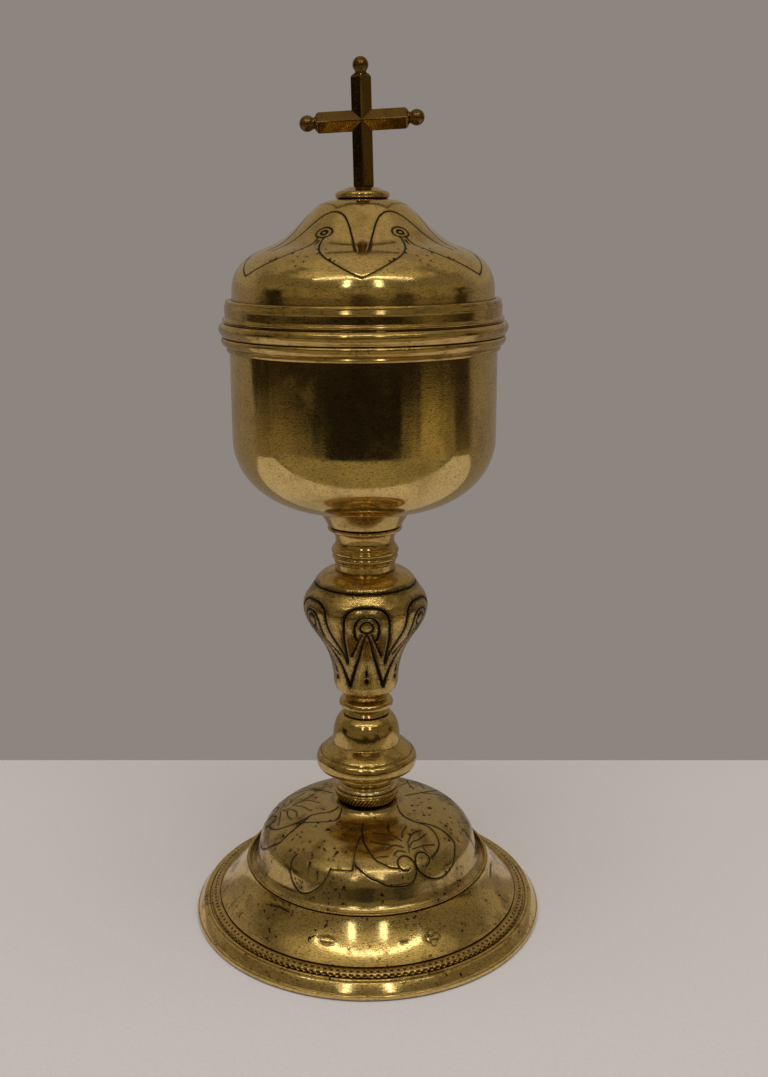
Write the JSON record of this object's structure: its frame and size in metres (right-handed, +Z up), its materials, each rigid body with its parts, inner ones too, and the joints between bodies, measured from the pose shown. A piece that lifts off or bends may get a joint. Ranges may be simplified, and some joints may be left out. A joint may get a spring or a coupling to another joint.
{
  "type": "ciborium",
  "caption": "Tall lidded metal cup on a knopped stem and stepped round foot, engraved, with a plain ball-tipped cross on the lid.",
  "frame": {"origin": "on the stem's axis, in the plane that the foot rests on", "axes": "+Z up along the stem, +X to the right of the engraved front, -Y towards the viewer"},
  "size_m": [0.1358, 0.1358, 0.3189],
  "materials": {
    "spun_brass": "polished gilt brass, hand engraved, with brown wear",
    "turned_brass": "cast and turned brass, polished",
    "pale_brass": "pale worn metal, satin",
    "aged_brass": "darkened brass, dull polish",
    "plain_brass": "plain turned brass, unpolished"
  },
  "bodies": {
    "vessel": {"foot_rim_ring": "spun_brass", "foot_flange": "spun_brass", "foot_beaded_band": "spun_brass", "crease_wire": "spun_brass", "foot_dome": "spun_brass", "coin_edge_ring": "turned_brass", "spacer_ring": "pale_brass", "lower_knop": "turned_brass", "bead_ring": "turned_brass", "upper_knop": "turned_brass", "stem_neck": "turned_brass", "cup_boss": "turned_brass", "cup_bowl": "spun_brass", "cup_rim_moulding": "spun_brass", "tie_rod": "plain_brass", "clamp_washer": "plain_brass", "clamp_nut": "plain_brass"},
    "lid": {"lid_rim_moulding": "spun_brass", "lid_dome": "spun_brass", "lid_bezel": "spun_brass", "finial_collar": "turned_brass", "cross": "aged_brass", "cross_ball_top": "aged_brass", "cross_ball_right": "aged_brass", "cross_ball_left": "aged_brass", "cross_stud": "plain_brass", "finial_washer": "plain_brass", "finial_nut": "plain_brass"}
  },
  "joints": [
    {"name": "lid_lift", "type": "slide", "parent": "vessel", "child": "lid", "axis": [0, 0, 1], "range_m": [0, 0.15]}
  ]
}
